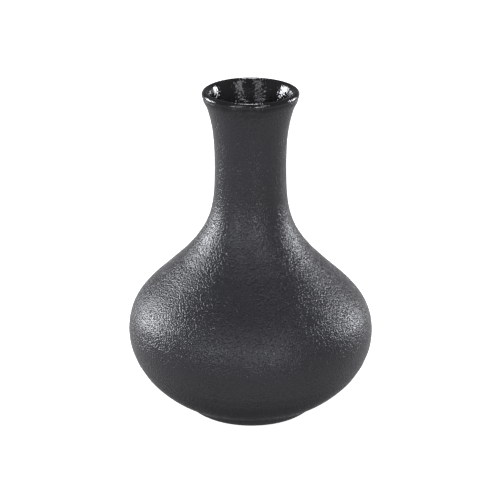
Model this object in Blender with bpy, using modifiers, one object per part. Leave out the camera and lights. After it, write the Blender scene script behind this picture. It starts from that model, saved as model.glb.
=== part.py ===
"""Stoneware bottle vase: one turned clay body that carries three coats of glaze.

The clay body runs from the foot ring through the belly and the neck to the lip.
A textured coat covers its outside, a gloss liner covers its inside and laps over
the lip, and a patch of the textured coat lies in the hollow under the foot.
The origin is the centre of the foot, where it stands, with +Z up the axis.
Every piece is a section in the XZ plane that a Screw modifier turns about Z.
"""

import math

import bpy
import numpy as np

# Overall form, in metres, measured over the glaze.
HEIGHT = 0.145
BELLY_RADIUS = 0.054
BELLY_HEIGHT = 0.0357
BELLY_ROUNDNESS = 0.0289  # radius of curvature of the outline at the belly

# Neck and lip.
NECK_RADIUS = 0.0155
NECK_BELOW_TOP = 0.0334  # from the top of the lip down to the narrowest place
NECK_ROUNDNESS = 0.283  # radius of curvature of the outline at the narrowest place
LIP_OUTER_RADIUS = 0.0209
LIP_THICKNESS = 0.0032
LIP_FLARE_ANGLE = math.radians(65)  # above the horizontal, where the lip begins

# Foot.
FOOT_RADIUS = 0.0284
FOOT_HEIGHT = 0.003
FOOT_SPREAD = 0.0006  # the foot is this much wider where it meets the belly
FOOT_EDGE_RADIUS = 0.0005
FOOT_RING_WIDTH = 0.0055
RECESS_DEPTH = 0.0018
UNDERCUT_ANGLE = math.radians(23)  # above the horizontal, where the belly leaves the foot

# Walls.
WALL_THICKNESS = 0.0044  # from glaze to glaze
LIP_TAPER = 0.022  # height over which the wall thins towards the lip
FLOOR_THICKNESS = 0.0052  # from the recess up to the liner on the floor
FLOOR_BLEND = 0.003  # how softly the floor turns up into the wall

# Coats of glaze.
GLAZE_THICKNESS = 0.0004
BOND_GAP = 0.0003  # between a coat and the clay behind it, and between two coats
GLAZE_LINE_HEIGHT = 0.001  # the outside coat stops this far above the table
LINER_LAP = 0.003  # the liner comes this far down the outside of the lip
BASE_COAT_MARGIN = 0.0012  # between the patch under the foot and the foot ring

# Shape factors: where the control points of the outline stand, as shares of the
# way from one end of a curve to the other, outwards and upwards.
UNDERCUT_FULLNESS = 0.46
SHOULDER_LOW_PULL = (0.28, 0.311)
SHOULDER_HIGH_PULL = (0.094, 0.675)
LIP_FLARE_FULLNESS = 0.81

# How finely the shapes are divided.
STEPS_ROUND = 40
OUTSIDE_POINTS = {"undercut": 7, "shoulder": 13, "neck": 6}
INSIDE_POINTS = {"undercut": 9, "shoulder": 10, "neck": 5}
LIP_OUTSIDE_POINTS = 5
LIP_INSIDE_POINTS = 3
FOOT_EDGE_POINTS = 3
FINE_POINTS = 120  # each curve is worked out with this many points, then thinned
EVENNESS = 0.2  # weight of even spacing against spacing by bend

COAT = GLAZE_THICKNESS + BOND_GAP
QUARTER_TURN = math.pi / 2


def bezier(controls):
    """Finely spaced points along the Bezier curve that these control points make."""
    degree = len(controls) - 1
    t = np.linspace(0, 1, FINE_POINTS)[:, None]
    points = np.zeros((FINE_POINTS, 2))
    for i, control in enumerate(controls):
        points += math.comb(degree, i) * (1 - t) ** (degree - i) * t**i * np.array(control)
    return points


def handle(degree, stand_off, roundness):
    """Length of a Bezier handle that gives its end this radius of curvature.

    stand_off is how far the next control point stands from the end's tangent.
    """
    return math.sqrt((degree - 1) / degree * stand_off * roundness)


def arc(centre, radius, start, end, count):
    """count points along an arc, from one angle to another."""
    angles = np.linspace(start, end, count)
    return np.array(centre) + radius * np.stack([np.cos(angles), np.sin(angles)], 1)


def between(low, high, shares):
    """The point at these shares of the way from low to high, outwards and upwards."""
    return np.array(low) + np.array(shares) * (np.array(high) - np.array(low))


def lip_arc(start, end, count):
    """Part of the half round that ends the wall; its top is at a quarter turn."""
    radius = LIP_THICKNESS / 2
    return arc((LIP_OUTER_RADIUS - radius, HEIGHT - radius), radius, start, end, count)


def lip_outside():
    """The lip from the end of the neck's flare up to the top."""
    return lip_arc(LIP_FLARE_ANGLE - QUARTER_TURN, QUARTER_TURN, LIP_OUTSIDE_POINTS)


def lip_inside():
    """The lip from the top down to where the inside of the neck begins."""
    return lip_arc(QUARTER_TURN, LIP_FLARE_ANGLE + QUARTER_TURN, LIP_INSIDE_POINTS)


def outside_curves():
    """The outline over the glaze, from the foot's top edge up to the lip.

    Three curves meet upright at the belly and at the narrowest place of the neck,
    with the same radius of curvature on both sides.
    """
    crease = np.array([FOOT_RADIUS + FOOT_SPREAD, FOOT_HEIGHT])
    belly = np.array([BELLY_RADIUS, BELLY_HEIGHT])
    waist = np.array([NECK_RADIUS, HEIGHT - NECK_BELOW_TOP])
    lip = lip_outside()[0]

    reach = UNDERCUT_FULLNESS * (belly[0] - crease[0])
    under = crease + reach * np.array([1, math.tan(UNDERCUT_ANGLE)])
    drop = handle(3, belly[0] - under[0], BELLY_ROUNDNESS)
    undercut = bezier([crease, under, belly - [0, drop], belly])

    axis_side, belly_side = [waist[0], belly[1]], [belly[0], waist[1]]
    low = between(axis_side, belly_side, SHOULDER_LOW_PULL)
    high = between(axis_side, belly_side, SHOULDER_HIGH_PULL)
    rise = handle(5, belly[0] - low[0], BELLY_ROUNDNESS)
    fall = handle(5, high[0] - waist[0], NECK_ROUNDNESS)
    shoulder = bezier([belly, belly + [0, rise], low, high, waist - [0, fall], waist])

    reach = LIP_FLARE_FULLNESS * (lip[0] - waist[0])
    flare = lip - reach * np.array([1, math.tan(LIP_FLARE_ANGLE)])
    climb = handle(3, flare[0] - waist[0], NECK_ROUNDNESS)
    neck = bezier([waist, waist + [0, climb], flare, lip])
    return {"undercut": undercut, "shoulder": shoulder, "neck": neck}


def wall_at(height):
    """The wall's thickness: full lower down, thinning smoothly to the lip's own."""
    below_lip = np.clip((lip_outside()[0][1] - height) / LIP_TAPER, 0, 1)
    ease = below_lip * below_lip * (3 - 2 * below_lip)
    return LIP_THICKNESS + ease * (WALL_THICKNESS - LIP_THICKNESS)


def moved_in(line):
    """A finely spaced line, moved square to itself by the wall's thickness."""
    along = np.gradient(line, axis=0, edge_order=2)
    inwards = np.stack([-along[:, 1], along[:, 0]], 1)
    inwards /= np.linalg.norm(inwards, axis=1)[:, None]
    return line + inwards * wall_at(line[:, 1])[:, None]


def softer_of(value, least, blend):
    """value, but never under least, and rounded over where the two cross."""
    near = np.clip(blend - np.abs(value - least), 0, None)
    return np.maximum(value, least) + near * near / (4 * blend)


def inside_curves():
    """The cavity over the glaze, in the same three curves as the outside.

    Under the belly the wall's own slope carries on to the axis, and the floor
    takes over wherever that would be lower.
    """
    curves = {name: moved_in(line) for name, line in outside_curves().items()}
    corner = curves["undercut"][0]
    centre = corner - corner[0] * np.array([1, math.tan(UNDERCUT_ANGLE)])
    slope = np.linspace(centre, corner, FINE_POINTS)
    curves["undercut"] = np.concatenate([slope, curves["undercut"][1:]])
    for line in curves.values():
        line[:, 1] = softer_of(line[:, 1], RECESS_DEPTH + FLOOR_THICKNESS, FLOOR_BLEND)
    return curves


def thinned(line, count):
    """count points of a finely spaced line, closer together where it bends more."""
    steps = np.diff(line, axis=0)
    lengths = np.linalg.norm(steps, axis=1)
    heading = np.unwrap(np.arctan2(steps[:, 1], steps[:, 0]))
    bend = np.sqrt(np.abs(np.gradient(heading)) * lengths)
    weight = bend / bend.sum() + EVENNESS * lengths / lengths.sum()
    passed = np.concatenate([[0], np.cumsum(weight)])
    wanted = np.linspace(0, passed[-1], count)
    return np.stack([np.interp(wanted, passed, line[:, k]) for k in range(2)], 1)


def chained(lines):
    """Lines that follow on from each other as one, each shared end kept once."""
    return np.concatenate([lines[0], *(line[1:] for line in lines[1:])])


def foot_side(height):
    """The point over the glaze at this height on the foot's side."""
    return [FOOT_RADIUS + FOOT_SPREAD * height / FOOT_HEIGHT, height]


def glazed_line():
    """The whole glazed surface, from the floor's centre over the lip to the foot.

    Also gives the index of the point at the very edge of the liner.
    """
    inside = [thinned(line, INSIDE_POINTS[name]) for name, line in inside_curves().items()]
    outside = [thinned(line, OUTSIDE_POINTS[name]) for name, line in outside_curves().items()]
    down_inside = chained([*inside, lip_inside()[::-1]])
    down_outside = chained([*outside, lip_outside()])[::-1]
    line = chained([down_inside, down_outside, [down_outside[-1], foot_side(GLAZE_LINE_HEIGHT)]])

    lap_height = HEIGHT - LINER_LAP
    top = len(down_inside) - 1
    edge = top + int(np.argmax(line[top:, 1] < lap_height))
    above, below = line[edge - 1], line[edge]
    lap = between(above, below, (above[1] - lap_height) / (above[1] - below[1]))
    return np.insert(line, edge, lap, axis=0), edge


def sunk(line, depth):
    """A line moved to its right by this depth, with mitred corners.

    An end on the axis stays on it.
    """
    steps = np.diff(line, axis=0)
    right = np.stack([steps[:, 1], -steps[:, 0]], 1)
    right /= np.linalg.norm(right, axis=1)[:, None]
    before = np.concatenate([right[:1], right])
    after = np.concatenate([right, right[-1:]])
    mitre = (before + after) / (1 + (before * after).sum(1))[:, None]
    moved = line + depth * mitre
    moved[line[:, 0] == 0, 0] = 0
    return moved


def clay_section():
    """Clay: behind every coat, and bare on the foot ring and round the recess."""
    line, _ = glazed_line()
    edge = FOOT_EDGE_RADIUS
    outer = FOOT_RADIUS - COAT
    inner = outer - FOOT_RING_WIDTH
    outer_edge = arc((outer - edge, edge), edge, 0, -QUARTER_TURN, FOOT_EDGE_POINTS)
    inner_edge = arc((inner + edge, edge), edge, -QUARTER_TURN, -math.pi, FOOT_EDGE_POINTS)
    recess = [[inner, RECESS_DEPTH], [0, RECESS_DEPTH]]
    return np.concatenate([sunk(line, COAT), outer_edge, inner_edge, recess])


def liner_section():
    """Gloss coat: the inside, the lip and a narrow band outside it."""
    line, edge = glazed_line()
    face = line[: edge + 1]
    back = sunk(line, GLAZE_THICKNESS)[: edge + 1]
    return np.concatenate([face, back[::-1]])


def outside_section():
    """Textured coat: from just under the liner's edge down to the foot."""
    line, edge = glazed_line()
    down = line[edge + 1] - line[edge]
    clearance = BOND_GAP * down / np.linalg.norm(down)
    face = line[edge:]
    back = sunk(line, GLAZE_THICKNESS)[edge:]
    for side in (face, back):
        side[0] += clearance
    return np.concatenate([face, back[::-1]])


def base_coat_section():
    """A patch of the textured coat under the recess's ceiling, clear of the ring."""
    radius = FOOT_RADIUS - COAT - FOOT_RING_WIDTH - BASE_COAT_MARGIN
    top = RECESS_DEPTH - BOND_GAP
    bottom = top - GLAZE_THICKNESS
    return np.array([[0, top], [radius, top], [radius, bottom], [0, bottom]])


def material(name, colour, roughness):
    """A plain Principled material."""
    made = bpy.data.materials.new(name)
    made.use_nodes = True
    shader = made.node_tree.nodes["Principled BSDF"]
    shader.inputs["Base Color"].default_value = (*colour, 1)
    shader.inputs["Roughness"].default_value = roughness
    shader.inputs["Metallic"].default_value = 0
    return made


def turned(name, section, finish, collection):
    """A solid of revolution from its section, which runs down its outer side.

    A section that begins on the axis also ends on it; any other is a closed loop.
    """
    points = [(radius, 0, height) for radius, height in section]
    edges = [(i, i + 1) for i in range(len(points) - 1)]
    if points[0][0] > 0:
        edges.append((len(points) - 1, 0))
    mesh = bpy.data.meshes.new(name)
    mesh.from_pydata(points, edges, [])
    mesh.materials.append(finish)
    piece = bpy.data.objects.new(name, mesh)
    collection.objects.link(piece)
    screw = piece.modifiers.new("Turn", "SCREW")
    screw.axis = "Z"
    screw.angle = math.tau
    screw.steps = STEPS_ROUND
    screw.render_steps = STEPS_ROUND
    screw.use_merge_vertices = True
    screw.merge_threshold = 1e-5
    screw.use_smooth_shade = True
    return piece


def build():
    """Clears the scene and makes the vase, with its foot on the XY plane."""
    for old in list(bpy.data.objects):
        bpy.data.objects.remove(old, do_unlink=True)
    vase = bpy.data.collections.new("bottle_vase")
    bpy.context.scene.collection.children.link(vase)

    clay = material("dark_stoneware", (0.045, 0.042, 0.040), 0.85)
    textured = material("textured_satin_glaze", (0.030, 0.030, 0.032), 0.35)
    gloss = material("gloss_black_glaze", (0.010, 0.010, 0.012), 0.08)

    turned("clay_body", clay_section(), clay, vase)
    turned("outside_glaze", outside_section(), textured, vase)
    turned("liner_glaze", liner_section(), gloss, vase)
    turned("base_glaze", base_coat_section(), textured, vase)


build()
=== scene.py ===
"""Looks of the stoneware bottle vase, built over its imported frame.

The coats of glaze and the clay are turned again at full fineness from the rings and
boxes of the CAD nodes, with the small unevenness of a thrown and glazed pot.
All lengths are in metres; MM turns millimetres into them.
"""

import math

import bpy
import numpy as np
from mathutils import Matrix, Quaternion, Vector, noise


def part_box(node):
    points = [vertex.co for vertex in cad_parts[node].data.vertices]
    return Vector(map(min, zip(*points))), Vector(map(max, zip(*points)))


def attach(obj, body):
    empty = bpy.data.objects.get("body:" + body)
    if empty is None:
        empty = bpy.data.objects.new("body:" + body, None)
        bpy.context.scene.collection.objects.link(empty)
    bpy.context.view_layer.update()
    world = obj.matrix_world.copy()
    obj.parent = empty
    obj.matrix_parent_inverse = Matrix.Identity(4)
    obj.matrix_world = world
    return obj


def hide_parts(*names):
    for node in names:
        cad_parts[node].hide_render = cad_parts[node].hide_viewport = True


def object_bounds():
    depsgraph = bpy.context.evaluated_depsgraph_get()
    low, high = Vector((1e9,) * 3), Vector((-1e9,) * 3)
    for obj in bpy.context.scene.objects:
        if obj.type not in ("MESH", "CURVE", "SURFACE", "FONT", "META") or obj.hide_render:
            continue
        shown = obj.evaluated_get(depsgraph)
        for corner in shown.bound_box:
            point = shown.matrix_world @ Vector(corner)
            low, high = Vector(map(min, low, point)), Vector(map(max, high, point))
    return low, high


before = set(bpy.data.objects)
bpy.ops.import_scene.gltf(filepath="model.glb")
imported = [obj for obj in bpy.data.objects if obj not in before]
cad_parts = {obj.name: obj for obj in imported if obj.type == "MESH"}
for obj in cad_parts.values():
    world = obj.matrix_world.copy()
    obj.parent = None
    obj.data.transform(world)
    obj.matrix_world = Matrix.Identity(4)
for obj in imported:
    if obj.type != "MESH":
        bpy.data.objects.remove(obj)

MM = 0.001

cad_low, cad_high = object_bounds()
HEIGHT = cad_high.z
BELLY_RADIUS = cad_high.x
COAT_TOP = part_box("outside_glaze")[1].z
COAT_AND_GAP = BELLY_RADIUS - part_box("clay_body")[1].x
COAT_THICKNESS = 0.4 * MM

# How finely each piece is turned: columns round it, and rows or spacing along the wall.
OUTSIDE_COLUMNS = 300
OUTSIDE_ROWS = 270
LINER_COLUMNS = 256
LINER_DEEP_ROWS = 90
LINER_THROAT_ROWS = 80
LINER_LIP_ROWS = 60
CLAY_COLUMNS = 160
CLAY_SPACING = 1.6 * MM
CLAY_RING_ROWS = 14
CLAY_RECESS_ROWS = 22
PATCH_TOP_ROWS = 14
PATCH_RIM_ROWS = 9
PATCH_BOTTOM_ROWS = 40
HIDDEN_ROWS = 24
OUTLINE_SPACING = 0.25 * MM
SHARP_TURN = math.radians(45)
CORNER_SOFTNESS = 0.35 * MM
NEARLY_ZERO = 0.001 * MM

# The hand-made lean of the wall along X, shared by every piece: at the shoulder and foot.
SHOULDER_LEAN = -0.75 * MM
LEAN_HEIGHT = 58 * MM
LEAN_REACH_ABOVE = 25 * MM
LEAN_REACH_BELOW = 12 * MM
FOOT_LEAN = 0.22 * MM
FOOT_LEAN_REACH = 24 * MM
OUT_OF_ROUND = 0.0015
OVAL_TWIST = 30

# Slow swells of the fired surface: their size and their reach.
SWELL_DEPTH = 0.11 * MM
BROAD_SWELL = 22 * MM
CLOSE_SWELL = 5.5 * MM
CLOSE_SHARE = 0.3

# The liner runs over the lip and thins out to a ragged edge on the textured coat.
LAP_PROUD = 0.05 * MM
LAP_SUNK = 0.16 * MM
LAP_RAGGED = 0.3
LAP_THINS_FROM = 0.35
LAP_THINS_OVER = 0.75
LAP_ENDS_AT = 1.25
COAT_UNDER_LAP = 1.9 * MM

# The bead in which the outside coat ends, low on the foot: its points, in degrees round
# from face to back, and how many rows of the coat beside it lose their swell.
BEAD_TURNS = [35, 70, 100, 135]
ROWS_CALM_BY_BEAD = 5

# The soft roll that the doubled glaze makes round the outside of the lip.
ROLL_PROUD = 0.28 * MM
ROLL_HEIGHT = COAT_TOP - 1.0 * MM
ROLL_REACH = 2.0 * MM

# Throwing rings inside. Places here are lengths down the wall from the top of the lip,
# except FLOOR_FADE, which runs out from the middle of the floor.
THROAT_BOTTOM = 45 * MM
LIP_BOTTOM = 6 * MM
THROWING_PITCH = 4.6 * MM
THROWING_DEPTH = 0.16 * MM
THROWING_START = 30 * MM
THROWING_FADE = 10 * MM
FLOOR_FADE = 12 * MM

# Tool rings under the foot, and the wavering edge of the coat brushed on there.
TOOL_RING_PITCH = 1.3 * MM
TOOL_RING_DEPTH = 0.05 * MM
PATCH_WAVER = 0.35 * MM
PATCH_SWELL_SHARE = 0.7


# ---------------------------------------------------------------- outlines

def rings(node):
    """The (radius, height) of every ring of a turned CAD node."""
    corners = np.array([v.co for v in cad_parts[node].data.vertices])
    pairs = np.stack([np.hypot(corners[:, 0], corners[:, 1]), corners[:, 2]], 1)
    return np.unique(np.round(pairs, 6), axis=0)


def face_rings(node):
    """The rings on a coat's glazed face, which stand further from the clay."""
    own = rings(node)
    apart = np.linalg.norm(own[:, None] - rings("clay_body")[None], axis=2).min(1)
    return own[apart > COAT_AND_GAP - COAT_THICKNESS / 2]


def glazed_outline():
    """The whole glazed surface: from the floor inside, over the lip, to the foot."""
    liner = face_rings("liner_glaze")
    top = liner[np.argmax(liner[:, 1])]
    lapped = (liner[:, 0] > top[0]) & (liner[:, 1] > COAT_TOP)
    inside = liner[~lapped]
    outside = np.concatenate([liner[lapped], face_rings("outside_glaze")])
    rising = inside[np.argsort(inside[:, 1])]
    falling = outside[np.argsort(-outside[:, 1])]
    return np.concatenate([rising, falling])


def smooth(points, spacing):
    """A centripetal Catmull-Rom curve through points, broken where they turn sharply."""
    heading = np.unwrap(np.arctan2(*np.diff(points, axis=0).T[::-1]))
    sharp = np.nonzero(np.abs(np.diff(heading)) > SHARP_TURN)[0] + 1
    breaks = [0, *sharp, len(points) - 1]
    line = [points[:1]]
    for first, last in zip(breaks, breaks[1:]):
        part = points[first : last + 1]
        part = [2 * part[0] - part[1], *part, 2 * part[-1] - part[-2]]
        for a, b, c, d in zip(part, part[1:], part[2:], part[3:]):
            pairs = ((a, b), (b, c), (c, d))
            before, along, after = (np.linalg.norm(q - p) ** 0.5 for p, q in pairs)
            leave = (b - a) / before - (c - a) / (before + along) + (c - b) / along
            arrive = (c - b) / along - (d - b) / (along + after) + (d - c) / after
            steps = max(2, math.ceil(np.linalg.norm(c - b) / spacing * 4))
            t = np.linspace(0, 1, steps + 1)[1:, None]
            line.append(
                (2 * t**3 - 3 * t**2 + 1) * b
                + (t**3 - 2 * t**2 + t) * leave * along
                + (3 * t**2 - 2 * t**3) * c
                + (t**3 - t**2) * arrive * along
            )
    return even(np.concatenate(line), spacing)


def length_along(line):
    """The length from a line's start to each of its points."""
    steps = np.linalg.norm(np.diff(line, axis=0), axis=1)
    return np.concatenate([[0], np.cumsum(steps)])


def at_length(line, wanted):
    """Points at the wanted lengths along a line."""
    length = length_along(line)
    return np.stack([np.interp(wanted, length, line[:, k]) for k in range(2)], 1)


def even(line, spacing):
    """The same line with its points about this far apart."""
    total = length_along(line)[-1]
    return at_length(line, np.linspace(0, total, max(2, round(total / spacing) + 1)))


def softened(line, reach):
    """An evenly spaced line with its corners rounded over about this reach."""
    step = np.linalg.norm(line[1] - line[0])
    half = int(3 * reach / step)
    weights = np.exp(-0.5 * (np.arange(-half, half + 1) * step / reach) ** 2)
    before = 2 * line[0] - line[1 : half + 1][::-1]
    after = 2 * line[-1] - line[-half - 1 : -1][::-1]
    padded = np.concatenate([before, line, after])
    weights = weights / weights.sum()
    return np.stack([np.convolve(padded[:, k], weights, "valid") for k in range(2)], 1)


def left_of(line):
    """Unit normals to the left of the way that a line runs, which is away from the clay."""
    along = np.gradient(line, axis=0)
    left = np.stack([-along[:, 1], along[:, 0]], 1)
    return left / np.linalg.norm(left, axis=1)[:, None]


fine_outline = smooth(glazed_outline(), OUTLINE_SPACING)
lip_top = int(np.argmax(fine_outline[:, 1]))
inner_line = fine_outline[: lip_top + 1]
outer_line = fine_outline[lip_top:]
LAP_LENGTH = length_along(outer_line)[int(np.argmax(outer_line[:, 1] < COAT_TOP))]


# ---------------------------------------------------------------- turned pieces

def lean(z):
    """How far the thrown wall stands off the true axis, along X, at a height."""
    reach = np.where(z > LEAN_HEIGHT, LEAN_REACH_ABOVE, LEAN_REACH_BELOW)
    shoulder = SHOULDER_LEAN * np.exp(-(((z - LEAN_HEIGHT) / reach) ** 2))
    return float(shoulder + FOOT_LEAN * np.exp(-((z / FOOT_LEAN_REACH) ** 2)))


def swell(r, z, angle):
    """The slow, soft unevenness of the surface at a place on it."""
    place = Vector((r * math.cos(angle), r * math.sin(angle), z))
    close = noise.noise(place / CLOSE_SWELL)
    return SWELL_DEPTH * (noise.noise(place / BROAD_SWELL) + CLOSE_SHARE * close)


def roll(z):
    """How far the doubled glaze stands proud outside the lip, at a height."""
    return ROLL_PROUD * math.exp(-(((z - ROLL_HEIGHT) / ROLL_REACH) ** 2))


def ragged(angle, seed, coarse=5.0):
    """An uneven edge round the pot, from about -1 to 1, the same each time for a seed."""
    place = Vector((math.cos(angle), math.sin(angle), seed)) * coarse
    return noise.noise(place) + 0.5 * noise.noise(place * 3.1)


def turned(name, line, columns, closed=False, relief=None):
    """A piece turned about Z from a line of (radius, height); it stands out to the left.

    relief(row, angle) pushes a point out of the surface. closed joins the line's ends.
    """
    ring = np.concatenate([line[-1:], line, line[:1]]) if closed else line
    out = left_of(ring)[1:-1] if closed else left_of(ring)
    angles = np.linspace(0, math.tau, columns, endpoint=False)
    verts = []
    faces = []
    starts = []
    for row, (r, z) in enumerate(line):
        starts.append(len(verts))
        if r < NEARLY_ZERO:
            verts.append((lean(z), 0, z))
            continue
        shift = lean(z)
        for angle in angles:
            push = relief(row, angle) if relief else 0
            oval = 1 + OUT_OF_ROUND * math.cos(2 * angle + OVAL_TWIST * z)
            radius = (r + out[row, 0] * push) * oval
            height = z + out[row, 1] * push
            verts.append((radius * math.cos(angle) + shift, radius * math.sin(angle), height))
    last = len(line) if closed else len(line) - 1
    for row in range(last):
        after = (row + 1) % len(line)
        here, there = starts[row], starts[after]
        for j in range(columns):
            k = (j + 1) % columns
            if line[row][0] < NEARLY_ZERO:
                faces.append((here, there + j, there + k))
            elif line[after][0] < NEARLY_ZERO:
                faces.append((here + k, here + j, there))
            else:
                faces.append((here + k, here + j, there + j, there + k))
    mesh = bpy.data.meshes.new(name)
    mesh.from_pydata(verts, [], faces)
    mesh.shade_smooth()
    piece = bpy.data.objects.new(name, mesh)
    bpy.context.scene.collection.objects.link(piece)
    return piece


def back_of(face):
    """A coat's hidden back, a coat's thickness behind its face, from its end to its start."""
    kept = np.linspace(0, len(face) - 1, HIDDEN_ROWS).round().astype(int)
    return (face - left_of(face) * COAT_THICKNESS)[kept][::-1]


def rolled_edge(face):
    """The rounded bead in which a coat ends, from its face round to its back."""
    normal = left_of(face)[-1]
    along = np.array([normal[1], -normal[0]])
    half = COAT_THICKNESS / 2
    turns = np.radians(BEAD_TURNS)
    return [face[-1] + half * ((np.cos(t) - 1) * normal + np.sin(t) * along) for t in turns]


def outside_coat():
    """The textured coat: from under the liner's lap to a rounded bead low on the foot."""
    whole = softened(outer_line, CORNER_SOFTNESS)
    total = length_along(whole)[-1]
    face = at_length(whole, np.linspace(LAP_LENGTH - COAT_UNDER_LAP, total, OUTSIDE_ROWS))

    def relief(row, angle):
        if row >= len(face):
            return 0
        near_end = max(0, 1 - (len(face) - 1 - row) / ROWS_CALM_BY_BEAD)
        return swell(*face[row], angle) * (1 - near_end) + roll(face[row, 1])

    line = np.concatenate([face, rolled_edge(face), back_of(face)])
    return turned("outside_coat", line, OUTSIDE_COLUMNS, True, relief)


def liner_coat():
    """The gloss liner: up the inside, over the lip, thinning out on the textured coat."""
    whole = softened(np.concatenate([inner_line, outer_line[1:]]), CORNER_SOFTNESS)
    length = length_along(whole)
    top = length[int(np.argmax(whole[:, 1]))]
    deep = np.linspace(0, top - THROAT_BOTTOM, LINER_DEEP_ROWS)
    throat = np.linspace(top - THROAT_BOTTOM, top - LIP_BOTTOM, LINER_THROAT_ROWS)[1:]
    lip = np.linspace(top - LIP_BOTTOM, top + LAP_ENDS_AT * LAP_LENGTH, LINER_LIP_ROWS)[1:]
    rows = np.concatenate([deep, throat, lip])
    face = at_length(whole, rows)
    face[0, 0] = 0

    def relief(row, angle):
        if row >= len(face):
            return 0
        push = swell(*face[row], angle)
        below_lip = top - rows[row]
        if below_lip > THROWING_START:
            spiral = math.tau * below_lip / THROWING_PITCH + angle
            fade = min(1, (below_lip - THROWING_START) / THROWING_FADE)
            fade = fade * min(1, rows[row] / FLOOR_FADE)
            push += THROWING_DEPTH * fade * math.sin(spiral)
        if below_lip < 0:
            along = -below_lip / LAP_LENGTH + LAP_RAGGED * ragged(angle, 3.0)
            thin = min(1, max(0, (along - LAP_THINS_FROM) / LAP_THINS_OVER))
            push += roll(face[row, 1]) + LAP_PROUD - (LAP_PROUD + LAP_SUNK) * thin
        return push

    back = back_of(face)
    back[-1, 0] = 0
    return turned("liner_coat", np.concatenate([face, back]), LINER_COLUMNS, False, relief)


def clay_wall():
    """The fired clay: hidden behind the coats, and bare on the foot ring it stands on."""
    clay = rings("clay_body")
    ceiling = clay[clay[:, 0] == 0][:, 1].min()
    foot_side = clay[(clay[:, 1] < ceiling) & (clay[:, 0] > BELLY_RADIUS / 2)]
    flat = clay[clay[:, 1] < NEARLY_ZERO][:, 0]
    within = (clay[:, 0] > 0) & (clay[:, 0] < flat.min())
    recess = clay[within & (clay[:, 1] <= ceiling + NEARLY_ZERO)]
    wall = even(fine_outline, CLAY_SPACING)
    wall = wall - left_of(wall) * COAT_AND_GAP
    wall[0, 0] = 0
    hidden = wall[(wall[:, 1] > ceiling) | (wall[:, 0] < BELLY_RADIUS / 3)]
    outer_side = foot_side[np.argsort(-foot_side[:, 1])]
    outer_side = outer_side[outer_side[:, 0] >= flat.max()]
    inner_side = recess[np.argsort(recess[:, 1])]
    ring_radii = np.linspace(flat.max(), flat.min(), CLAY_RING_ROWS)[1:]
    ring = np.stack([ring_radii, np.zeros(len(ring_radii))], 1)
    across_radii = np.linspace(inner_side[-1, 0], 0, CLAY_RECESS_ROWS)[1:]
    across = np.stack([across_radii, np.full(len(across_radii), ceiling)], 1)
    line = np.concatenate([hidden, outer_side, ring, inner_side, across])

    def relief(row, angle):
        r, z = line[row]
        if row < len(hidden) or z < TOOL_RING_DEPTH:
            return 0
        return TOOL_RING_DEPTH * math.sin(math.tau * r / TOOL_RING_PITCH + angle)

    return turned("clay_wall", line, CLAY_COLUMNS, False, relief)


def base_patch():
    """The coat brushed under the foot, with a wavering rounded edge."""
    low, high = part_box("base_glaze")
    half = COAT_THICKNESS / 2
    middle = (low.z + high.z) / 2
    reach = high.x - half
    turns = np.linspace(0, math.pi, PATCH_RIM_ROWS)
    rim = [(reach + half * math.sin(t), middle + half * math.cos(t)) for t in turns]
    top = [(r, high.z) for r in np.linspace(0, reach, PATCH_TOP_ROWS)[:-1]]
    bottom = [(r, low.z) for r in np.linspace(reach, 0, PATCH_BOTTOM_ROWS)[1:]]
    line = np.array(top + rim + bottom)

    def relief(row, angle):
        if row < len(top):
            return 0
        if row < len(top) + len(rim):
            return PATCH_WAVER * ragged(angle, 8.0, 2.5)
        return PATCH_SWELL_SHARE * swell(*line[row], angle)

    return turned("base_patch", line, CLAY_COLUMNS, False, relief)


# ---------------------------------------------------------------- shader helpers

def add(tree, kind, inputs=None, **settings):
    """A new shader node; each named input takes a value or another node's output."""
    node = tree.nodes.new("ShaderNode" + kind)
    for name, value in settings.items():
        setattr(node, name, value)
    for name, value in (inputs or {}).items():
        wire(tree, value, node.inputs[name])
    return node


def wire(tree, value, socket):
    """Links another node's output to a socket, or sets the socket to a value."""
    if isinstance(value, bpy.types.NodeSocket):
        tree.links.new(value, socket)
    else:
        socket.default_value = value


def calc(tree, operation, *values):
    """The output of one Math node that works on these values."""
    node = add(tree, "Math", operation=operation)
    for value, socket in zip(values, node.inputs):
        wire(tree, value, socket)
    return node.outputs[0]


def ramp(tree, value, low, high, to_low=0.0, to_high=1.0):
    """value taken smoothly from low..high to to_low..to_high, and held at the ends."""
    limits = {"From Min": low, "From Max": high, "To Min": to_low, "To Max": to_high}
    node = add(tree, "MapRange", {"Value": value, **limits}, interpolation_type="SMOOTHSTEP")
    return node.outputs["Result"]


def new_group(name, inputs, outputs):
    """A shader node group with named float sockets: its tree, its inputs, its outputs."""
    tree = bpy.data.node_groups.new(name, "ShaderNodeTree")
    for label, value in inputs.items():
        socket = tree.interface.new_socket(label, in_out="INPUT", socket_type="NodeSocketFloat")
        socket.default_value = value
    for label in outputs:
        tree.interface.new_socket(label, in_out="OUTPUT", socket_type="NodeSocketFloat")
    given = tree.nodes.new("NodeGroupInput").outputs
    result = tree.nodes.new("NodeGroupOutput").inputs
    place = add(tree, "TexCoord").outputs["Object"]
    return tree, given, result, place


def placed(tree, group, **values):
    """A group placed in a material, with the material's own values."""
    node = tree.nodes.new("ShaderNodeGroup")
    node.node_tree = group
    for name, value in values.items():
        wire(tree, value, node.inputs[name.replace("_", " ")])
    return node.outputs


# ---------------------------------------------------------------- shader groups

# How steeply a pebble falls away from its crown, and the part of a cell its crown takes.
DOME_POWER = 2.6
CROWN_REACH = (0.1, 0.7)

# Contrast of the clouds; how many cells lie across one speck, and its soft edge.
CLOUD_CONTRAST = (0.3, 0.7)
SPECK_CELLS = 0.4
SPECK_EDGE = (0.1, 0.28)

# Waves to the metre in the line round the pot, and in the tool rings.
LINE_WAVES = 240.0
RING_WAVES = 60.0


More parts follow.
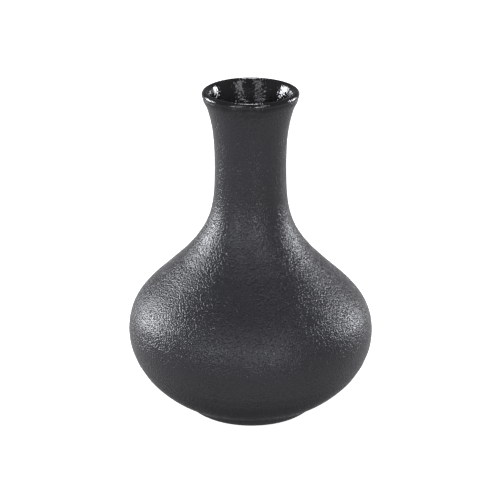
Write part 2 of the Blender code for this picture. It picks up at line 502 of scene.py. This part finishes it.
def pebbled_skin():
    """The fine domes that a matt glaze draws up into as it cools."""
    inputs = {"Pebble Size": 1 * MM, "Pebble Height": 0.1 * MM, "Grit Height": 0.02 * MM}
    outputs = ["Relief", "Crowns", "Pebble Shade"]
    tree, given, result, place = new_group("pebbled_skin", inputs, outputs)
    per_metre = calc(tree, "DIVIDE", 1.0, given["Pebble Size"])
    cells = add(tree, "TexVoronoi", {"Vector": place, "Scale": per_metre})
    domed = calc(tree, "POWER", cells.outputs["Distance"], DOME_POWER)
    grit = add(tree, "TexNoise", {"Vector": place, "Scale": per_metre, "Detail": 2.0})
    domes = calc(tree, "MULTIPLY", domed, given["Pebble Height"])
    rough = calc(tree, "MULTIPLY", grit.outputs["Fac"], given["Grit Height"])
    shade = add(tree, "SeparateColor", {"Color": cells.outputs["Color"]})
    wire(tree, calc(tree, "SUBTRACT", rough, domes), result["Relief"])
    crowns = ramp(tree, cells.outputs["Distance"], *CROWN_REACH, 1.0, 0.0)
    wire(tree, crowns, result["Crowns"])
    wire(tree, shade.outputs["Red"], result["Pebble Shade"])
    return tree


def kiln_variation():
    """Slow cloudiness from the firing, and sparse specks."""
    inputs = {"Cloud Size": 20 * MM, "Speck Size": 0.5 * MM, "Speck Share": 0.03}
    tree, given, result, place = new_group("kiln_variation", inputs, ["Cloud", "Specks"])
    per_cloud = calc(tree, "DIVIDE", 1.0, given["Cloud Size"])
    cloud = add(tree, "TexNoise", {"Vector": place, "Scale": per_cloud, "Detail": 4.0})
    per_speck = calc(tree, "DIVIDE", SPECK_CELLS, given["Speck Size"])
    cells = add(tree, "TexVoronoi", {"Vector": place, "Scale": per_speck})
    near = ramp(tree, cells.outputs["Distance"], *SPECK_EDGE, 1.0, 0.0)
    chance = add(tree, "SeparateColor", {"Color": cells.outputs["Color"]}).outputs["Green"]
    chosen = calc(tree, "LESS_THAN", chance, given["Speck Share"])
    wire(tree, ramp(tree, cloud.outputs["Fac"], *CLOUD_CONTRAST), result["Cloud"])
    wire(tree, calc(tree, "MULTIPLY", near, chosen), result["Specks"])
    return tree


def wavering_line():
    """How far a place is above a wavering line round the pot, softly from 0 to 1."""
    inputs = {"Height": 0.14, "Softness": 1 * MM, "Wander": 1 * MM}
    tree, given, result, place = new_group("wavering_line", inputs, ["Above"])
    height = add(tree, "SeparateXYZ", {"Vector": place}).outputs["Z"]
    wave = add(tree, "TexNoise", {"Vector": place, "Scale": LINE_WAVES, "Detail": 3.0})
    centred = calc(tree, "SUBTRACT", wave.outputs["Fac"], 0.5)
    wander = calc(tree, "MULTIPLY", centred, given["Wander"])
    above = calc(tree, "SUBTRACT", calc(tree, "ADD", height, wander), given["Height"])
    share = calc(tree, "DIVIDE", above, given["Softness"])
    wire(tree, ramp(tree, share, -1.0, 1.0), result["Above"])
    return tree


def turning_marks():
    """The fine rings that a trimming tool leaves in leather-hard clay."""
    inputs = {"Ring Pitch": 0.6 * MM, "Ring Depth": 0.02 * MM}
    tree, given, result, place = new_group("turning_marks", inputs, ["Relief"])
    axes = add(tree, "SeparateXYZ", {"Vector": place}).outputs
    across = calc(tree, "POWER", axes["X"], 2.0)
    deep = calc(tree, "POWER", axes["Y"], 2.0)
    radius = calc(tree, "SQRT", calc(tree, "ADD", across, deep))
    waver = add(tree, "TexNoise", {"Vector": place, "Scale": RING_WAVES, "Detail": 2.0})
    reach = calc(tree, "SUBTRACT", radius, axes["Z"])
    count = calc(tree, "DIVIDE", reach, given["Ring Pitch"])
    turns = calc(tree, "ADD", count, waver.outputs["Fac"])
    phase = calc(tree, "MULTIPLY", turns, math.tau)
    wave = calc(tree, "SINE", phase)
    wire(tree, calc(tree, "MULTIPLY", wave, given["Ring Depth"]), result["Relief"])
    return tree


# ---------------------------------------------------------------- materials

def new_material(name):
    """A material, its tree and its Principled shader."""
    made = bpy.data.materials.new(name)
    made.use_nodes = True
    return made, made.node_tree, made.node_tree.nodes["Principled BSDF"]


def mixed(tree, share, low, high):
    """A colour between two, by share."""
    node = add(tree, "Mix", {"Factor": share}, data_type="RGBA")
    node.inputs[6].default_value = (*low, 1)
    node.inputs[7].default_value = (*high, 1)
    return node.outputs[2]


def tinted(tree, colour, share, tint):
    """A colour taken towards a tint by share."""
    node = add(tree, "Mix", {"Factor": share}, data_type="RGBA")
    wire(tree, colour, node.inputs[6])
    node.inputs[7].default_value = (*tint, 1)
    return node.outputs[2]


def embossed(tree, shader, relief):
    """Raises the shader's surface by a relief in metres."""
    bump = add(tree, "Bump", {"Height": relief, "Distance": 1.0, "Strength": 1.0})
    wire(tree, bump.outputs["Normal"], shader.inputs["Normal"])


# Above the shoulder the textured coat is thinner, and its pebbles are lower.
THIN_COAT_HEIGHT = 85 * MM
THIN_COAT_FLATNESS = 0.2

# Roughness: across the shades of the pebbles, more in a cloud, less where glazes melted.
PEBBLE_SHADES = (0.25, 0.75)
SATIN_ROUGHNESS = (0.26, 0.08)
CLOUD_ROUGHNESS = 0.04
MELT_SHARE = 0.6
LINER_ROUGHNESS = (0.07, 0.15)
LINER_IOR = 1.62
CLAY_ROUGHNESS = (0.92, 0.74)

# Colours, and how far a cloud takes each glaze towards its second colour.
CHARCOAL = (0.052, 0.052, 0.057)
CHARCOAL_HOLLOW = (0.034, 0.034, 0.038)
CHARCOAL_CLOUD = (0.046, 0.046, 0.051)
CHARCOAL_CLOUDED = 0.5
GLOSS_BLACK = (0.012, 0.012, 0.014)
GLOSS_THIN = (0.030, 0.028, 0.028)
GLOSS_CLOUDED = 0.4
BARE_CLAY = (0.060, 0.053, 0.047)
CLAY_PALE = (0.105, 0.094, 0.083)
CLAY_GROG = (0.022, 0.019, 0.017)


def textured_satin_glaze(groups):
    """The charcoal coat: pebbled, satin, and melted glossy where the liner laps it."""
    made, tree, shader = new_material("textured_satin_glaze")
    skin = placed(
        tree,
        groups["skin"],
        Pebble_Size=0.74 * MM,
        Pebble_Height=0.22 * MM,
        Grit_Height=0.06 * MM,
    )
    kiln = placed(
        tree, groups["kiln"], Cloud_Size=24 * MM, Speck_Size=0.5 * MM, Speck_Share=0.02
    )
    melt = placed(
        tree, groups["line"], Height=COAT_TOP - 0.6 * MM, Softness=1.4 * MM, Wander=5 * MM
    )["Above"]
    thin = placed(
        tree, groups["line"], Height=THIN_COAT_HEIGHT, Softness=18 * MM, Wander=8 * MM
    )["Above"]
    colour = mixed(tree, skin["Crowns"], CHARCOAL_HOLLOW, CHARCOAL)
    clouded = calc(tree, "MULTIPLY", kiln["Cloud"], CHARCOAL_CLOUDED)
    colour = tinted(tree, colour, clouded, CHARCOAL_CLOUD)
    colour = tinted(tree, colour, kiln["Specks"], CHARCOAL_HOLLOW)
    colour = tinted(tree, colour, melt, GLOSS_BLACK)
    wire(tree, colour, shader.inputs["Base Color"])
    rough = ramp(tree, skin["Pebble Shade"], *PEBBLE_SHADES, *SATIN_ROUGHNESS)
    rough = calc(tree, "ADD", rough, calc(tree, "MULTIPLY", kiln["Cloud"], CLOUD_ROUGHNESS))
    unmelted = calc(tree, "SUBTRACT", 1.0, calc(tree, "MULTIPLY", melt, MELT_SHARE))
    wire(tree, calc(tree, "MULTIPLY", rough, unmelted), shader.inputs["Roughness"])
    full = calc(tree, "SUBTRACT", 1.0, calc(tree, "MULTIPLY", thin, THIN_COAT_FLATNESS))
    relief = calc(tree, "MULTIPLY", skin["Relief"], calc(tree, "MULTIPLY", unmelted, full))
    embossed(tree, shader, relief)
    return made


def gloss_black_glaze(groups):
    """The black liner: glossy, with a faint ripple."""
    made, tree, shader = new_material("gloss_black_glaze")
    shader.inputs["IOR"].default_value = LINER_IOR
    skin = placed(
        tree,
        groups["skin"],
        Pebble_Size=1.1 * MM,
        Pebble_Height=0.075 * MM,
        Grit_Height=0.055 * MM,
    )
    kiln = placed(
        tree, groups["kiln"], Cloud_Size=9 * MM, Speck_Size=0.4 * MM, Speck_Share=0.05
    )
    clouded = calc(tree, "MULTIPLY", kiln["Cloud"], GLOSS_CLOUDED)
    colour = mixed(tree, clouded, GLOSS_BLACK, GLOSS_THIN)
    colour = tinted(tree, colour, kiln["Specks"], CHARCOAL_HOLLOW)
    wire(tree, colour, shader.inputs["Base Color"])
    rough = ramp(tree, kiln["Cloud"], 0.0, 1.0, *LINER_ROUGHNESS)
    wire(tree, rough, shader.inputs["Roughness"])
    embossed(tree, shader, skin["Relief"])
    return made


def dark_stoneware(groups):
    """Bare fired clay: matt and gritty, with tool rings."""
    made, tree, shader = new_material("dark_stoneware")
    grain = placed(
        tree,
        groups["skin"],
        Pebble_Size=0.45 * MM,
        Pebble_Height=0.10 * MM,
        Grit_Height=0.10 * MM,
    )
    kiln = placed(
        tree, groups["kiln"], Cloud_Size=7 * MM, Speck_Size=0.45 * MM, Speck_Share=0.16
    )
    marks = placed(tree, groups["turning"], Ring_Pitch=0.9 * MM, Ring_Depth=0.03 * MM)["Relief"]
    colour = mixed(tree, kiln["Cloud"], BARE_CLAY, CLAY_PALE)
    colour = tinted(tree, colour, kiln["Specks"], CLAY_GROG)
    wire(tree, colour, shader.inputs["Base Color"])
    rough = ramp(tree, grain["Crowns"], 0.0, 1.0, *CLAY_ROUGHNESS)
    wire(tree, rough, shader.inputs["Roughness"])
    embossed(tree, shader, calc(tree, "ADD", marks, grain["Relief"]))
    return made


# ---------------------------------------------------------------- studio

CENTRE_HEIGHT = 0.53 * HEIGHT
CAMERA_DISTANCE = 0.775
CAMERA_HEIGHT = 0.377
CAMERA_TURN = math.radians(0.318)
CAMERA_LENS = 142.5
LAMP_DISTANCE = 1.05

# Each soft lamp: azimuth from the camera's side towards its right and elevation, in
# degrees, then width, height and radiance.
LAMPS = {
    "left_softbox": (-113, 11, 0.48, 0.44, 15.3),
    "right_softbox": (119, 10, 0.22, 0.40, 18.4),
    "front_left_card": (-37, 15, 0.42, 0.2, 6.5),
    "front_right_card": (17, 14, 0.24, 0.20, 12.0),
    "left_window": (-24, 40, 0.26, 0.50, 1.9),
    "right_window": (37, 40, 0.26, 0.50, 2.7),
    "overhead_card": (180, 68, 0.20, 0.20, 22.0),
}
LAMP_TINT = (0.965, 0.99, 1.03)

# The glow of the air, and the directions between which it goes from one to the next.
AIR_ABOVE = 0.13
AIR_BELOW = 0.42
AIR_NADIR = 0.04
AIR_BEHIND = 1.3
NADIR_EDGE = (-1.12, -0.8)
NADIR_TILT = 0.5
HORIZON_EDGE = (-0.25, 0.25)
BEHIND_EDGE = (0.2, 0.8)
BEHIND_TOP = (-0.1, 0.2)
AIR_TINT = (1, 1, 1.03, 1)

FLOOR_REACH = 4.0
FLOOR_CORNERS = ((-1, -1), (1, -1), (1, 1), (-1, 1))
FLOOR_COLOUR = (0.8, 0.8, 0.8, 1)
FLOOR_GLOW = 0.93


def lamp(name, azimuth, elevation, width, height, radiance):
    """A rectangular soft light that faces the belly."""
    data = bpy.data.lights.new(name, "AREA")
    data.shape = "RECTANGLE"
    data.size = width
    data.size_y = height
    data.energy = radiance * width * height * math.pi
    data.color = LAMP_TINT
    a, e = math.radians(azimuth), math.radians(elevation)
    away = Vector((math.sin(a) * math.cos(e), -math.cos(a) * math.cos(e), math.sin(e)))
    made = bpy.data.objects.new(name, data)
    made.location = Vector((0, 0, CENTRE_HEIGHT)) + away * LAMP_DISTANCE
    made.rotation_mode = "QUATERNION"
    made.rotation_quaternion = away.to_track_quat("Z", "Y")
    made.visible_camera = False
    bpy.context.scene.collection.objects.link(made)


def studio_air():
    """White to the camera. To everything else it is a dim glow: fainter from above than
    from below the horizon, faintest from straight below, and stronger from low behind.
    """
    world = bpy.data.worlds.new("studio_air")
    bpy.context.scene.world = world
    world.use_nodes = True
    tree = world.node_tree
    tree.nodes.clear()
    direction = add(tree, "TexCoord").outputs["Generated"]
    towards = add(tree, "SeparateXYZ", {"Vector": direction}).outputs
    tilt = calc(tree, "MULTIPLY", towards["Y"], NADIR_TILT)
    lowness = calc(tree, "SUBTRACT", towards["Z"], tilt)
    below = ramp(tree, lowness, *NADIR_EDGE, AIR_NADIR, AIR_BELOW)
    level = ramp(tree, towards["Z"], *HORIZON_EDGE, 1.0, AIR_ABOVE / AIR_BELOW)
    behind = ramp(tree, towards["Y"], *BEHIND_EDGE, 1.0, AIR_BEHIND)
    fade = ramp(tree, towards["Z"], *BEHIND_TOP, 1.0, 0.0)
    more = calc(tree, "MULTIPLY", fade, calc(tree, "SUBTRACT", behind, 1.0))
    around = calc(tree, "MULTIPLY", below, level)
    glow = calc(tree, "MULTIPLY", around, calc(tree, "ADD", 1.0, more))
    dim = add(tree, "Background", {"Color": AIR_TINT, "Strength": glow})
    white = add(tree, "Background", {"Color": (1, 1, 1, 1), "Strength": 1.0})
    mix = add(tree, "MixShader", {"Fac": add(tree, "LightPath").outputs["Is Camera Ray"]})
    tree.links.new(dim.outputs[0], mix.inputs[1])
    tree.links.new(white.outputs[0], mix.inputs[2])
    tree.links.new(mix.outputs[0], add(tree, "OutputWorld").inputs["Surface"])


def studio_floor():
    """A wide pale floor that glows to the camera alone and throws no light on the pot."""
    mesh = bpy.data.meshes.new("studio_floor")
    corners = [(x * FLOOR_REACH, y * FLOOR_REACH, 0) for x, y in FLOOR_CORNERS]
    mesh.from_pydata(corners, [], [(0, 1, 2, 3)])
    floor = bpy.data.objects.new("studio_floor", mesh)
    bpy.context.scene.collection.objects.link(floor)
    floor.visible_glossy = False
    floor.visible_diffuse = False
    floor.visible_shadow = False
    made, tree, shader = new_material("pale_floor")
    shader.inputs["Base Color"].default_value = FLOOR_COLOUR
    shader.inputs["Roughness"].default_value = 0.9
    shader.inputs["Emission Color"].default_value = (1, 1, 1, 1)
    shader.inputs["Emission Strength"].default_value = FLOOR_GLOW
    mesh.materials.append(made)


def studio_camera():
    """A long lens that looks down on the vase from in front, panned a hair to one side."""
    data = bpy.data.cameras.new("camera")
    data.sensor_width = 36
    data.lens = CAMERA_LENS
    data.clip_start = 0.05
    camera = bpy.data.objects.new("camera", data)
    camera.location = (0, -CAMERA_DISTANCE, CAMERA_HEIGHT)
    aim = (Vector((0, 0, CENTRE_HEIGHT)) - camera.location).to_track_quat("-Z", "Y")
    camera.rotation_mode = "QUATERNION"
    camera.rotation_quaternion = Quaternion(aim @ Vector((0, 1, 0)), CAMERA_TURN) @ aim
    bpy.context.scene.collection.objects.link(camera)
    bpy.context.scene.camera = camera


# ---------------------------------------------------------------- assembly

def fit_piece(piece, node, material):
    """Gives a piece its material and body, and hides the CAD node that it replaces."""
    piece.data.materials.append(material)
    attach(piece, "root")
    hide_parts(node)


shader_groups = {
    "skin": pebbled_skin(),
    "kiln": kiln_variation(),
    "line": wavering_line(),
    "turning": turning_marks(),
}
satin = textured_satin_glaze(shader_groups)
fit_piece(outside_coat(), "outside_glaze", satin)
fit_piece(liner_coat(), "liner_glaze", gloss_black_glaze(shader_groups))
fit_piece(clay_wall(), "clay_body", dark_stoneware(shader_groups))
fit_piece(base_patch(), "base_glaze", satin)

for lamp_name, lamp_values in LAMPS.items():
    lamp(lamp_name, *lamp_values)
studio_air()
studio_floor()
studio_camera()
bpy.context.scene.view_settings.view_transform = "Standard"
